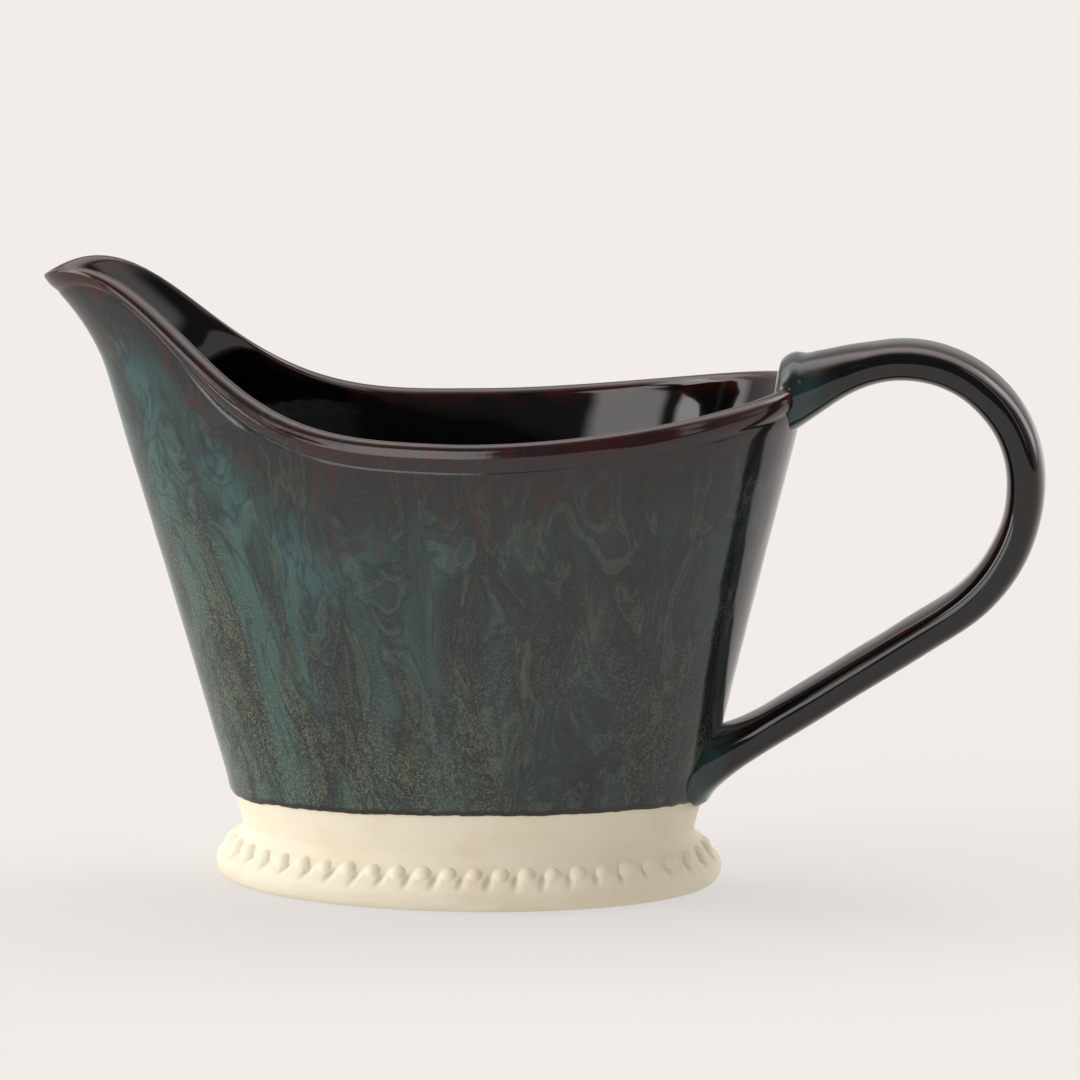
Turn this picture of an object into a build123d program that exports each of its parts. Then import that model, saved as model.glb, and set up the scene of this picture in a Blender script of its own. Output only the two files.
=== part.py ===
"""Gravy boat in glazed stoneware: an oval bowl with a pulled spout, on a beaded foot, with a strap handle.

Millimetres. The origin is the middle of the foot, on the table. The handle is at +X, the spout points
to -X, and +Z is up. The left and right halves are alike across the XZ plane.
"""
import os
from math import asin, atan2, cos, degrees, hypot, pi, radians, sin, sqrt, tan

from build123d import *

os.makedirs("parts", exist_ok=True)

# Foot: an oval standing ring with a rolled edge and a border of pearls
foot_length = 114.0  # the ring's outer edge on the table
foot_width = 72.8
foot_edge = 2.9  # how far the rolled edge stands out past the ring
foot_edge_height = 3.6
foot_ring_width = 6.5
foot_wall = 9.0  # thickness of the foot where it meets the bowl
waist_height = 13.0
waist_length = 108.4
waist_width = 68.4
pearl_size = 5.7
pearl_gap = 0.45  # least clear space between two pearls
pearl_height = 7.4
pearl_proud = 1.3

# Bowl
rim_height = 110.4  # lowest place of the rim, at mid length
rear_rise = 10.0  # how far the rim climbs to the handle
rear_rise_power = 1.7
spout_rise = 35.0  # how far the rim climbs to the crest of the spout
spout_rise_power = 1.77
spout_crest = 90.0  # from mid length to the crest
front_lean = 0.291  # how far the front wall leans out for each millimetre up
rear_lean = 0.243
side_lean = 0.115
side_gather = 0.24  # how far the sides draw in for each millimetre above rim height
shoulder_lean = 0.13  # extra width at the handle's end, given up at the spout
spout_throat = 119.0  # height where the front wall starts to curl into the lip
spout_curl = 5.6
spout_curl_height = 18.6
wall = 3.4
floor = 5.0
floor_round = 9.0

# Glaze
glaze = 0.6
glaze_line = 21.5  # height above the table where the outer glaze stops

# Handle: a strap, round at the top and straight below
handle_width = 20.0
handle_thickness = 9.0
handle_round = 3.6
handle_top_radius = 28.5  # of the strap's middle line
handle_back_radius = 37.7
handle_reach = 50.4  # from the rear wall at the rim to the strap's middle line at the back
handle_drop = 23.4  # from the rear rim down to the centre of the round part
handle_top_angle = 125.0  # where the round part ends and the strap runs straight to the wall
handle_foot_height = 16.5  # from the waist to the middle line where it meets the wall
handle_root = 12.0  # how far the strap's middle line is carried on behind the wall's face
joint_reach = 7.0  # how far each luted fillet stands off the wall
joint_flare = 2.4  # how far it spreads at the wall
joint_edge = 0.5  # its thickness where it fades out
joint_root = 6.5  # how far it is carried on behind the wall's face
under_rim_flare = 2.2  # how much wider it spreads below the strap at the rim

section_points = 24
curl_bands = 4  # straight bands that make up the spout's curl


def front_reach(z):
    curl = max(0.0, z - spout_throat) / spout_curl_height
    return waist_length / 2 + front_lean * (z - waist_height) + spout_curl * curl**2


def rear_reach(z):
    return waist_length / 2 + rear_lean * (z - waist_height)


def half_width(z):
    gathered = side_gather * max(0.0, z - rim_height)
    return waist_width / 2 + side_lean * (z - waist_height) - gathered


def shoulder(z):
    return shoulder_lean * (z - waist_height)


def egg_point(angle, z, inset):
    """A point of the bowl's section at height z, egg-shaped, with its blunt end at the handle."""
    front, rear = inset - front_reach(z), rear_reach(z) - inset
    middle, half = (front + rear) / 2, (rear - front) / 2
    return (middle + half * cos(angle), sin(angle) * (half_width(z) - inset + shoulder(z) * cos(angle)))


def rim_at(x):
    """Height of the lip's crest above the table at x."""
    if x < 0:
        return rim_height + spout_rise * sin(pi / 2 * (-x / spout_crest) ** spout_rise_power) ** 2
    return rim_height + rear_rise * (x / rear_reach(rim_height)) ** rear_rise_power


def corner_in(z, bottom):
    """How far the rounded corner at the floor draws the cavity's wall in at height z."""
    below = max(0.0, 1 - (z - bottom) / floor_round)
    return floor_round * (1 - sqrt(1 - below**2))


def half_outline(z, inset):
    return [egg_point(pi * i / section_points, z, inset) for i in range(section_points + 1)]


def filled(levels):
    """A solid through the bowl's sections, given as (height, inset)."""
    with BuildPart() as block:
        for z, inset in levels:
            with BuildSketch(Plane.XY.offset(z)):
                with BuildLine():
                    Spline(*half_outline(z, inset))
                    mirror(about=Plane.XZ)
                make_face()
        loft(ruled=True)
    return block.part


def walled(levels):
    """A wall that follows the bowl's sections, given as (height, outer inset, inner inset)."""
    with BuildPart() as block:
        for z, outer, inner in levels:
            outside, inside = half_outline(z, outer), half_outline(z, inner)
            with BuildSketch(Plane.XY.offset(z)):
                with BuildLine():
                    Spline(*outside)
                    Line(outside[-1], inside[-1])
                    Spline(*inside)
                    Line(inside[0], outside[0])
                make_face()
        loft(ruled=True)
        mirror(about=Plane.XZ)
    return block.part


# The walls run straight from waist to rim height, and then in short bands through the spout's curl
block_top = rim_height + spout_rise + 2.0
curl_band = (block_top - spout_throat) / curl_bands
wall_heights = [rim_height, *[spout_throat + curl_band * i for i in range(curl_bands + 1)]]


def above_rim(drop):
    """Everything above the lip's crest lowered by drop, as a tool for trimming the rim."""
    tool_top = 2 * block_top
    left, right = -front_reach(block_top) - wall, rear_reach(block_top) + wall
    steps = 24
    with BuildPart() as block:
        with BuildSketch(Plane.XZ):
            with BuildLine():
                xs = [left + (right - left) * i / steps for i in range(steps + 1)]
                crest = Spline(*[(x, rim_at(x) - drop) for x in xs])
                Polyline(crest @ 1, (right, tool_top), (left, tool_top), crest @ 0)
            make_face()
        extrude(amount=block_top, both=True)
    return block.part


above_glazed_rim = above_rim(0.0)
above_clay_rim = above_rim(glaze)
# The cavity's wall: one list of heights for the clay and for the liner glaze that lies on it
clay_inset = glaze + wall
clay_floor = waist_height + floor
liner_floor = clay_floor + glaze
corner_heights = [liner_floor, *[clay_floor + floor_round * step for step in (0.15, 0.45, 1.0)]]
cavity_heights = [*corner_heights, liner_floor + floor_round, *wall_heights]
body_heights = [waist_height, clay_floor, *cavity_heights]
glazed_block = filled([(z, 0.0) for z in body_heights])
clay_block = filled([(z, glaze) for z in body_heights])


def clay_wall_inset(z):
    return clay_inset + corner_in(z, clay_floor)


def liner_wall_inset(z):
    return clay_inset + glaze + corner_in(z, liner_floor)


# The bowl's clay: a slab for the floor, and the wall up to the lip
with BuildPart() as vessel:
    add(walled([(z, glaze, clay_wall_inset(z)) for z in (clay_floor, *cavity_heights)]))
    add(filled([(waist_height, glaze), (clay_floor, glaze)]))
    add(above_clay_rim, mode=Mode.SUBTRACT)
vessel.part.label = "vessel"

# Foot
def foot_edge_out(z):
    """How far the foot's face stands outside its contact ring at height z, up to the rolled edge."""
    return foot_edge * sqrt(1 - (1 - z / foot_edge_height) ** 2)


def foot_reach(z, contact, waist):
    """Half the foot's length or width at height z: a rolled edge, then a cove in to the waist."""
    if z <= foot_edge_height:
        return contact + foot_edge_out(z)
    up = (z - foot_edge_height) / (waist_height - foot_edge_height)
    return contact + foot_edge + (waist - contact - foot_edge) * sin(pi / 2 * up) ** 2


cove_height = waist_height - foot_edge_height
cove_heights = [foot_edge_height + cove_height * share for share in (0.0, 0.35, 0.65, 1.0)]
foot_heights = [0.0, 0.35 * foot_edge_height, *cove_heights]
with BuildPart() as foot_block:
    for z in foot_heights:
        with BuildSketch(Plane.XY.offset(z)):
            Ellipse(
                foot_reach(z, foot_length / 2, waist_length / 2 - glaze),
                foot_reach(z, foot_width / 2, waist_width / 2 - glaze),
            )
    loft()

with BuildPart() as foot_ring:
    add(foot_block.part)
    with BuildSketch(Plane.XY):
        Ellipse(foot_length / 2 - foot_ring_width, foot_width / 2 - foot_ring_width)
    with BuildSketch(Plane.XY.offset(waist_height)):
        Ellipse(waist_length / 2 - foot_wall, waist_width / 2 - foot_wall)
    loft(mode=Mode.SUBTRACT)
foot_ring.part.label = "foot_ring"

# Pearls: one row round the cove, evenly spaced along it, each let into the foot
pearl_inset = pearl_size / 2 - pearl_proud
with BuildLine(Plane.XY.offset(pearl_height)) as pearl_line:
    EllipticalCenterArc(
        (0, 0),
        foot_reach(pearl_height, foot_length / 2, waist_length / 2) - pearl_inset,
        foot_reach(pearl_height, foot_width / 2, waist_width / 2) - pearl_inset,
        arc_size=360,
    )
pearl_path = pearl_line.edge()
pearl_count = int(pearl_path.length / (pearl_size + pearl_gap))
with BuildPart() as bead_border:
    with Locations(*[pearl_path @ (i / pearl_count) for i in range(pearl_count)]):
        Sphere(pearl_size / 2)
    add(foot_block.part, mode=Mode.SUBTRACT)
bead_border.part.label = "bead_border"

# Handle: the strap's middle line, from inside the rear wall at the rim round to inside it above the foot
rear_rim = rim_height + rear_rise
centre_height = rear_rim - handle_drop
back = rear_reach(rear_rim) + handle_reach
top_centre = (back - handle_top_radius, centre_height)
back_centre = (back - handle_back_radius, centre_height)


def polar(centre, radius, angle):
    """The point at this distance and angle from centre, as (x, z)."""
    return (centre[0] + radius * cos(radians(angle)), centre[1] + radius * sin(radians(angle)))


def wall_hit(start, angle):
    """Where a line from start at this angle meets the rear wall, as (x, z)."""
    gap = start[0] - rear_reach(start[1])
    return polar(start, gap / (rear_lean * sin(radians(angle)) - cos(radians(angle))), angle)


round_start = polar(top_centre, handle_top_radius, handle_top_angle)
top_slope = handle_top_angle + 90
top_landing = wall_hit(round_start, top_slope)
low_height = waist_height + handle_foot_height
low_landing = (rear_reach(low_height), low_height)
along, up = back_centre[0] - low_landing[0], back_centre[1] - low_landing[1]
low_slope = degrees(atan2(up, along) - asin(handle_back_radius / hypot(along, up)))
low_run = sqrt(along**2 + up**2 - handle_back_radius**2)
round_end = polar(low_landing, low_run, low_slope)

with BuildLine(Plane.XZ) as strap_line:
    Line(polar(top_landing, handle_root, top_slope), round_start)
    CenterArc(top_centre, handle_top_radius, handle_top_angle, -handle_top_angle)
    CenterArc(back_centre, handle_back_radius, 0, low_slope - 90)
    Line(round_end, polar(low_landing, -handle_root, low_slope))


def strap(shrink):
    """The strap's full sweep, with its faces drawn in by shrink, ends left inside the bowl's wall."""
    path = strap_line.wire()
    with BuildPart() as sweep_block:
        with BuildSketch(Plane(path @ 0, x_dir=(0, 1, 0), z_dir=path % 0)):
            RectangleRounded(
                handle_width - 2 * shrink, handle_thickness - 2 * shrink, handle_round - shrink
            )
        sweep(path=path)
    return sweep_block.part


def luted_joint(landing, slope, above, below):
    """The fillet of slip round one end of the strap, in sections parallel to the wall; slope is the strap's."""
    lean = degrees(atan2(rear_lean, 1))
    face = Plane((landing[0], 0, landing[1]), x_dir=(0, 1, 0), z_dir=(1, 0, -rear_lean))
    tilt = radians(slope + lean)

    def section(out, share):
        spread = (joint_flare - joint_edge) * (1 - share) ** 2
        up, down = joint_edge + above * spread, joint_edge + below * spread
        with BuildSketch(face.offset(out)) as outline:
            with Locations((0, out * tan(tilt) + (up - down) / 2)):
                RectangleRounded(
                    handle_width + 2 * (joint_edge + spread),
                    handle_thickness / cos(tilt) + up + down,
                    handle_round + joint_edge,
                )
        return outline.sketch

    with BuildPart() as block:
        loft([section(share * joint_reach, share) for share in (1.0, 0.5, 0.0)])
        extrude(section(0.0, 0.0), amount=-joint_root)
    return block.part


strap_clay, strap_glazed = strap(glaze), strap(0.0)
joints = {
    "upper_handle_joint": luted_joint(top_landing, top_slope - 180, 0.0, under_rim_flare),
    "lower_handle_joint": luted_joint(low_landing, low_slope, 1.0, 1.0),
}
pieces = [vessel, foot_ring, bead_border]
for name, block in joints.items():
    with BuildPart() as joint:
        add(block)
        add(clay_block, mode=Mode.SUBTRACT)
        add(strap_clay, mode=Mode.SUBTRACT)
    joint.part.label = name
    pieces.append(joint)

with BuildPart() as handle:
    add(strap_clay)
    add(clay_block, mode=Mode.SUBTRACT)
handle.part.label = "handle"

with BuildPart() as handle_glaze:
    add(strap_glazed)
    add(strap_clay, mode=Mode.SUBTRACT)
    add(glazed_block, mode=Mode.SUBTRACT)
    for block in joints.values():
        add(block, mode=Mode.SUBTRACT)
handle_glaze.part.label = "handle_glaze"

# Glaze on the bowl: poured inside up to the crest of the lip, dipped outside down to its line, and
# doubled over the clay's edge at the lip
with BuildPart() as liner_glaze:
    add(walled([(z, clay_wall_inset(z), liner_wall_inset(z)) for z in cavity_heights]))
    add(filled([(z, clay_wall_inset(z)) for z in (clay_floor, liner_floor)]))
    add(above_glazed_rim, mode=Mode.SUBTRACT)
liner_glaze.part.label = "liner_glaze"

with BuildPart() as outer_glaze:
    add(walled([(z, 0.0, glaze) for z in body_heights]))
    split(bisect_by=Plane.XY.offset(glaze_line), keep=Keep.TOP)
    add(above_glazed_rim, mode=Mode.SUBTRACT)
    add(strap_clay, mode=Mode.SUBTRACT)
    for block in joints.values():
        add(block, mode=Mode.SUBTRACT)
outer_glaze.part.label = "outer_glaze"

with BuildPart() as lip_glaze:
    add(walled([(z, glaze, clay_inset) for z in (liner_floor + floor_round, *wall_heights)]))
    add(above_clay_rim, mode=Mode.INTERSECT)
    add(above_glazed_rim, mode=Mode.SUBTRACT)
    add(strap_clay, mode=Mode.SUBTRACT)
    for block in joints.values():
        add(block, mode=Mode.SUBTRACT)
lip_glaze.part.label = "lip_glaze"

for piece in (*pieces, handle, handle_glaze, liner_glaze, outer_glaze, lip_glaze):
    export_step(piece.part, f"parts/{piece.part.label}.step")
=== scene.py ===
"""Stoneware gravy boat: an oval bowl with a pulled spout, dipped in a reactive glaze down to a bare beaded foot."""
from math import asin, atan2, cos, exp, pi, radians, sin, sqrt, tau

import bmesh
import bpy
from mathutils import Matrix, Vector, noise


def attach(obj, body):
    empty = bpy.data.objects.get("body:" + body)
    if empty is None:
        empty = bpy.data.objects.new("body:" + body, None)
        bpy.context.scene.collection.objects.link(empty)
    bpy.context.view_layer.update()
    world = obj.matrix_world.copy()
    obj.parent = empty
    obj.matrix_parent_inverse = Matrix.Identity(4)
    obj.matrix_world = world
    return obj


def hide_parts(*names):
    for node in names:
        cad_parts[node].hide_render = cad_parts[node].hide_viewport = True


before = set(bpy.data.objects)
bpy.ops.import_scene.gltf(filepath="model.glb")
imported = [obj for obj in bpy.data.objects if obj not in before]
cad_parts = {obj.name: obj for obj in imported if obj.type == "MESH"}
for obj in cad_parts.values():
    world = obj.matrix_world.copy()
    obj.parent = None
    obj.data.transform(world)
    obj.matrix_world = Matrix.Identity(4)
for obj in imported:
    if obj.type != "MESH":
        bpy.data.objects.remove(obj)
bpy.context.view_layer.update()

bl_info = {
    "name": "Stoneware Gravy Boat",
    "version": (1, 0, 0),
    "blender": (4, 5, 0),
    "location": "View3D > Sidebar > Gravy Boat",
    "description": "Makes a glazed stoneware gravy boat piece by piece",
    "category": "Add Mesh",
}

MM = 0.001
BODY = "root"


def length(name, description, millimetres):
    """A length property whose default is given in millimetres."""
    return bpy.props.FloatProperty(
        name=name,
        description=description,
        default=millimetres * MM,
        unit="LENGTH",
        precision=5,
    )


def ratio(name, description, value):
    return bpy.props.FloatProperty(name=name, description=description, default=value, subtype="FACTOR")


def colour(name, description, hexcode):
    """A colour property whose default is an sRGB hex value."""
    return bpy.props.FloatVectorProperty(
        name=name,
        description=description,
        size=4,
        subtype="COLOR",
        min=0,
        max=1,
        default=linear(hexcode),
    )


def linear(hexcode):
    """An sRGB hex value as linear RGB with full alpha."""
    parts = [int(hexcode[i : i + 2], 16) / 255 for i in (1, 3, 5)]
    return (*[c / 12.92 if c <= 0.04045 else ((c + 0.055) / 1.055) ** 2.4 for c in parts], 1.0)


# ---------------------------------------------------------------- sizes and colours a user would change


class BowlSizes(bpy.types.PropertyGroup):
    """The bowl's wall, spout, lip and floor."""

    waist_height: length("Waist height", "Table to the narrowest place, where bowl and foot join", 13.0)
    waist_length: length("Waist length", "Glazed length at the waist", 108.4)
    waist_width: length("Waist width", "Glazed width at the waist", 68.4)
    rim_height: length("Rim height", "Table to the lowest place of the rim", 110.4)
    rear_rise: length("Rear rise", "Climb of the rim to the handle", 10.0)
    rear_rise_power: ratio("Rear rise power", "How late that climb comes", 1.7)
    spout_rise: length("Spout rise", "Climb of the rim to the crest of the spout", 35.0)
    spout_rise_power: ratio("Spout rise power", "How late that climb comes", 1.77)
    spout_crest: length("Spout crest", "Mid length to the crest of the spout", 90.0)
    front_lean: ratio("Front lean", "How far the front wall leans out for its height", 0.291)
    rear_lean: ratio("Rear lean", "How far the rear wall leans out for its height", 0.243)
    side_lean: ratio("Side lean", "How far the sides lean out for their height", 0.115)
    side_gather: ratio("Side gather", "How far the sides draw in above rim height", 0.24)
    shoulder_lean: ratio("Shoulder lean", "Width gained at the handle's end and lost at the spout", 0.13)
    throat_height: length("Throat height", "Where the front wall starts to curl out", 119.0)
    curl_height: length("Curl height", "Height over which it curls", 18.6)
    curl_reach: length("Curl reach", "How far it curls", 5.6)
    wall: length("Wall", "Thickness of the wall with both coats of glaze", 4.6)
    floor_height: length("Floor height", "Table to the glazed floor inside", 18.6)
    floor_round: length("Floor corner", "Radius between wall and floor", 9.0)
    lip_height: length("Lip height", "Height of the rolled band below the lip's crest", 3.1)
    lip_bulge: length("Lip bulge", "How far the band stands proud", 0.3)
    wobble: length("Wobble", "How uneven the hand-finished wall is", 0.22)


class GlazeSizes(bpy.types.PropertyGroup):
    """The coats of glaze."""

    coat: length("Coat", "Thickness of a coat of glaze", 0.6)
    line_height: length("Glaze line", "Table to the lower edge of the outer coat, on average", 21.4)
    line_swing: length("Line swing", "How much higher the coat ends at the sides than at the spout", 1.5)
    line_ragged: length("Ragged edge", "Unevenness of the lower edge", 0.38)
    bead: length("Edge bead", "Extra thickness where the coat gathers at its lower edge", 0.25)


class FootSizes(bpy.types.PropertyGroup):
    """The foot and its border."""

    contact_length: length("Contact length", "Length of the ring on the table", 114.0)
    contact_width: length("Contact width", "Width of the ring on the table", 72.8)
    edge_out: length("Edge out", "How far the rolled edge stands out", 2.9)
    edge_height: length("Edge height", "Height of the rolled edge's widest place", 3.6)
    ring_width: length("Ring width", "Width of the standing ring", 6.5)
    wall: length("Foot wall", "Thickness of the foot at the waist", 9.0)
    pearl_height: length("Pearl height", "Table to the row of pearls", 7.2)
    pearl_pitch: length("Pearl pitch", "Distance between pearls", 6.2)
    pearl_radius: length("Pearl radius", "Radius of a pearl", 2.95)
    pearl_sunk: length("Pearl sunk", "How deep a pearl's middle lies below the cove", 2.62)
    dimple_depth: length("Dimple depth", "Depth of the tool mark between two pearls", 1.15)


class HandleSizes(bpy.types.PropertyGroup):
    """The strap handle and its joints."""

    width: length("Width", "Width of the strap", 20.0)
    thickness: length("Thickness", "Thickness of the strap", 9.0)
    squareness: ratio("Squareness", "Exponent of the strap's rounded section", 2.9)
    top_radius: length("Top radius", "Radius of the round part at the top", 28.5)
    back_radius: length("Back radius", "Radius of the round part at the back", 37.7)
    reach: length("Reach", "Rear wall at the rim to the middle of the strap's back", 50.4)
    drop: length("Drop", "Rear rim down to the centre of the round part", 23.4)
    top_angle: bpy.props.FloatProperty(
        name="Top angle",
        description="Where the round part ends",
        default=radians(125),
        subtype="ANGLE",
    )
    foot_height: length("Foot height", "Waist to the middle of the strap where it lands", 16.5)
    flare: length("Flare", "Spread of the joint on the wall", 2.6)
    flare_length: length("Flare length", "How far the joint stands off the wall", 9.0)
    under_rim: ratio("Under-rim flare", "How much wider the upper joint spreads below the strap", 2.4)


class GlazeColours(bpy.types.PropertyGroup):
    """Colours of the glazes and the bare clay."""

    charcoal: colour("Charcoal", "Main colour of the outer glaze", "#151b1d")
    # On the outer glaze this teal is also laid on more strongly on the spout side, as painted light.
    teal: colour("Teal", "Blue-green where the coat is thick", "#2d5150")
    # On the outer glaze this olive is also laid on more thickly low on the spout side, as painted light.
    olive: colour("Olive", "Crystals in the thin coat", "#5c6350")
    plum: colour("Plum", "Under the rim", "#1e181b")
    rust: colour("Rust", "Where the glaze breaks on edges", "#36100a")
    tenmoku: colour("Tenmoku", "Inside and on the strap", "#080809")
    clay: colour("Clay", "Bare fired stoneware", "#e7dfca")
    clay_shade: colour("Clay shade", "Iron-toned patches in the clay", "#d3c29a")


class StageSettings(bpy.types.PropertyGroup):
    """Camera, floor and lights."""

    distance: bpy.props.FloatProperty(
        name="Distance",
        description="Camera to its target",
        default=1.407,
        unit="LENGTH",
    )
    lens: bpy.props.FloatProperty(
        name="Lens",
        description="Focal length in millimetres on a 36 mm sensor",
        default=200.0,
    )
    azimuth: bpy.props.FloatProperty(
        name="Azimuth",
        description="Round to the handle's side",
        default=radians(6.5),
        subtype="ANGLE",
    )
    elevation: bpy.props.FloatProperty(
        name="Elevation",
        description="Above the horizon",
        default=radians(10),
        subtype="ANGLE",
    )
    target: bpy.props.FloatVectorProperty(name="Target", description="Where the camera looks",
                                          default=(0.01712, 0.0, 0.08114), subtype="TRANSLATION")
    paper: colour("Paper", "Floor and background", "#f4f0ed")


# ---------------------------------------------------------------- meshes


def lofted(name, columns, tags=None, closed_profile=True):
    """A closed mesh from columns of points that go round the object, with tags stored beside the points.

    Neighbouring columns are joined by quads, and points that coincide, as at a pole, are merged.
    """
    bm = bmesh.new()
    layers = {key: bm.verts.layers.float_vector.new(key) for key in (tags or {})}
    grid = []
    for i, column in enumerate(columns):
        line = []
        for j, point in enumerate(column):
            vert = bm.verts.new(point)
            for key, layer in layers.items():
                vert[layer] = tags[key][i][j]
            line.append(vert)
        grid.append(line)
    rows = len(columns[0])
    for i, line in enumerate(grid):
        other = grid[(i + 1) % len(grid)]
        for j in range(rows if closed_profile else rows - 1):
            k = (j + 1) % rows
            bm.faces.new((line[j], other[j], other[k], line[k]))
    bmesh.ops.remove_doubles(bm, verts=bm.verts, dist=1e-7)
    return finished(name, bm)


def finished(name, bm):
    """The bmesh as a smooth-shaded object with its faces outward."""
    bmesh.ops.recalc_face_normals(bm, faces=bm.faces)
    mesh = bpy.data.meshes.new(name)
    bm.to_mesh(mesh)
    bm.free()
    mesh.shade_smooth()
    mesh.set_sharp_from_angle(angle=radians(50))
    piece = bpy.data.objects.new(name, mesh)
    bpy.context.scene.collection.objects.link(piece)
    return piece


def fitted(piece, slot, material, *nodes):
    """The piece takes its material, rides on the body and stands for the CAD nodes. The slot is not used."""
    piece.data.materials.clear()
    piece.data.materials.append(material)
    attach(piece, BODY)
    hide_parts(*nodes)


# ---------------------------------------------------------------- the bowl


def egg(bowl, turn, z, inset):
    """The bowl's section: blunt at the handle, where turn is 0, and narrow at the spout, at half a turn."""
    up = z - bowl.waist_height
    curl = max(0.0, z - bowl.throat_height) / bowl.curl_height
    front = bowl.waist_length / 2 + bowl.front_lean * up + bowl.curl_reach * curl**2 - inset
    rear = bowl.waist_length / 2 + bowl.rear_lean * up - inset
    gathered = bowl.side_gather * max(0.0, z - bowl.rim_height)
    side = bowl.waist_width / 2 + bowl.side_lean * up - gathered - inset
    shoulder = bowl.shoulder_lean * up * cos(turn)
    return Vector(((rear - front) / 2 + (rear + front) / 2 * cos(turn), sin(turn) * (side + shoulder), z))


def crest_at(bowl, x):
    """Height of the lip's crest at x."""
    if x < 0:
        share = (-x / bowl.spout_crest) ** bowl.spout_rise_power
        return bowl.rim_height + bowl.spout_rise * sin(pi / 2 * share) ** 2
    rear = bowl.waist_length / 2 + bowl.rear_lean * (bowl.rim_height - bowl.waist_height)
    return bowl.rim_height + bowl.rear_rise * (x / rear) ** bowl.rear_rise_power


def even_turns(bowl, count):
    """Angles whose points lie evenly along the rim."""
    fine = 2400
    points = [egg(bowl, tau * i / fine, bowl.throat_height, 0) for i in range(fine + 1)]
    run = [0.0]
    for a, b in zip(points, points[1:]):
        run.append(run[-1] + (b - a).length)
    turns, j = [], 0
    for i in range(count):
        goal = run[-1] * i / count
        while run[j + 1] < goal:
            j += 1
        turns.append(tau * (j + (goal - run[j]) / (run[j + 1] - run[j])) / fine)
    return turns


def uneven(bowl, point):
    """How far the wall swells out at a point: long soft hollows and small ripples, as left by a hand."""
    soft = noise.noise(Vector((point.x, point.y, point.z * 0.6)) / (26 * MM))
    ripple = noise.noise(Vector((point.x, point.y, point.z * 1.4)) / (9 * MM) + Vector((7, 3, 1)))
    return bowl.wobble * (soft + 0.3 * ripple)


class Column:
    """One upright slice of the bowl: where its lip is, and which ways are up along the wall and outward."""

    def __init__(self, bowl, glaze, turn):
        self.bowl, self.glaze, self.turn = bowl, glaze, turn
        low, high = bowl.rim_height - bowl.wall, bowl.rim_height + bowl.spout_rise + bowl.wall
        for _ in range(36):
            z = (low + high) / 2
            if z > crest_at(bowl, egg(bowl, turn, z, bowl.wall / 2).x):
                high = z
            else:
                low = z
        self.crest = z
        outer, inner = egg(bowl, turn, z, 0), egg(bowl, turn, z, bowl.wall)
        self.half = (outer - inner).length / 2
        self.outward = (outer - inner).normalized()
        below = egg(bowl, turn, z - bowl.wall, 0)
        self.upward = (outer - below).normalized()
        middle = (outer + inner) / 2
        self.centre = middle - self.upward * self.half
        swing = glaze.line_swing * (sin(turn) ** 2 + 0.55 * cos(turn) - 0.4)
        around = egg(bowl, turn, glaze.line_height, 0) / MM
        ragged = noise.noise(around / 4.5) + 0.6 * noise.noise(around / 1.7) + 0.9 * noise.noise(around / 14)
        self.line = glaze.line_height + swing + glaze.line_ragged * ragged

    def wall_out(self, z, depth):
        """A point of the outer face at height z, depth below the glaze."""
        surface = egg(self.bowl, self.turn, z, 0)
        return surface + self.outward * (uneven(self.bowl, surface) * self.calm(z) - depth)

    def calm(self, z):
        """The unevenness dies out towards the lip and the waist."""
        top = min(1.0, max(0.0, (self.crest - z - 5 * MM) / (14 * MM)))
        return top * min(1.0, max(0.0, (z - self.bowl.waist_height) / (8 * MM)))

    def roll_out(self, down, depth):
        """A point of the lip's rolled band, down below the centre of the crest's round."""
        z = self.centre.z - down * self.upward.z
        t = down / self.bowl.lip_height
        groove = -0.55 * sin(pi * min(1, (t - 1) / 0.45))
        proud = self.bowl.lip_bulge * (sin(pi * min(t, 1.0)) ** 0.8 if t < 1 else groove)
        surface = egg(self.bowl, self.turn, z, 0)
        return surface + self.outward * (proud - depth)

    def crest_round(self, angle, depth):
        """A point of the lip's round crest, from the outer side at 0 to the inner at pi."""
        reach = self.half - depth
        return self.centre + self.outward * (reach * cos(angle)) + self.upward * (reach * sin(angle))

    def wall_in(self, z, depth):
        """A point of the inner face at height z, depth below the glaze."""
        surface = egg(self.bowl, self.turn, z, self.bowl.wall)
        return surface + self.outward * (depth + 0.5 * uneven(self.bowl, surface) * self.calm(z))

    def corner(self, angle, depth):
        """The rounded corner, from the wall at 0 to the floor at a quarter turn."""
        radius = self.bowl.floor_round
        z = self.bowl.floor_height + radius - (radius + depth) * sin(angle)
        inset = self.bowl.wall + radius - (radius + depth) * cos(angle)
        return egg(self.bowl, self.turn, z, inset)

    def outside(self, depth, rows=64):
        """From the lower edge of the outer coat to the rolled band, with heights above that edge."""
        top = self.centre.z - 1.45 * self.bowl.lip_height * self.upward.z
        points = []
        for i in range(rows):
            t = i / rows
            points.append(self.wall_out(self.line + (top - self.line) * t**1.15, depth))
        return points

    def rolled(self, depth, rows=14):
        return [self.roll_out(1.45 * self.bowl.lip_height * (1 - i / rows), depth) for i in range(rows)]

    def crested(self, depth, start, end, rows=12):
        return [self.crest_round(start + (end - start) * i / rows, depth) for i in range(rows + 1)]

    def inside(self, depth, rows=34, corner_rows=10, floor_rows=9):
        """From the lip down the inner wall and over the floor to its middle."""
        top, low = self.centre.z, self.bowl.floor_height + self.bowl.floor_round
        points = [self.wall_in(top + (low - top) * (i + 1) / rows, depth) for i in range(rows)]
        points += [self.corner(pi / 2 * (i + 1) / corner_rows, depth) for i in range(corner_rows)]
        edge = points[-1]
        middle = Vector((0, 0, edge.z))
        return points + [edge.lerp(middle, (i + 1) / floor_rows) for i in range(floor_rows)]


def columns_of(scene, count=300):
    turns = even_turns(scene.gravy_bowl, count)
    return [Column(scene.gravy_bowl, scene.gravy_glaze, turn) for turn in turns]


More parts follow.
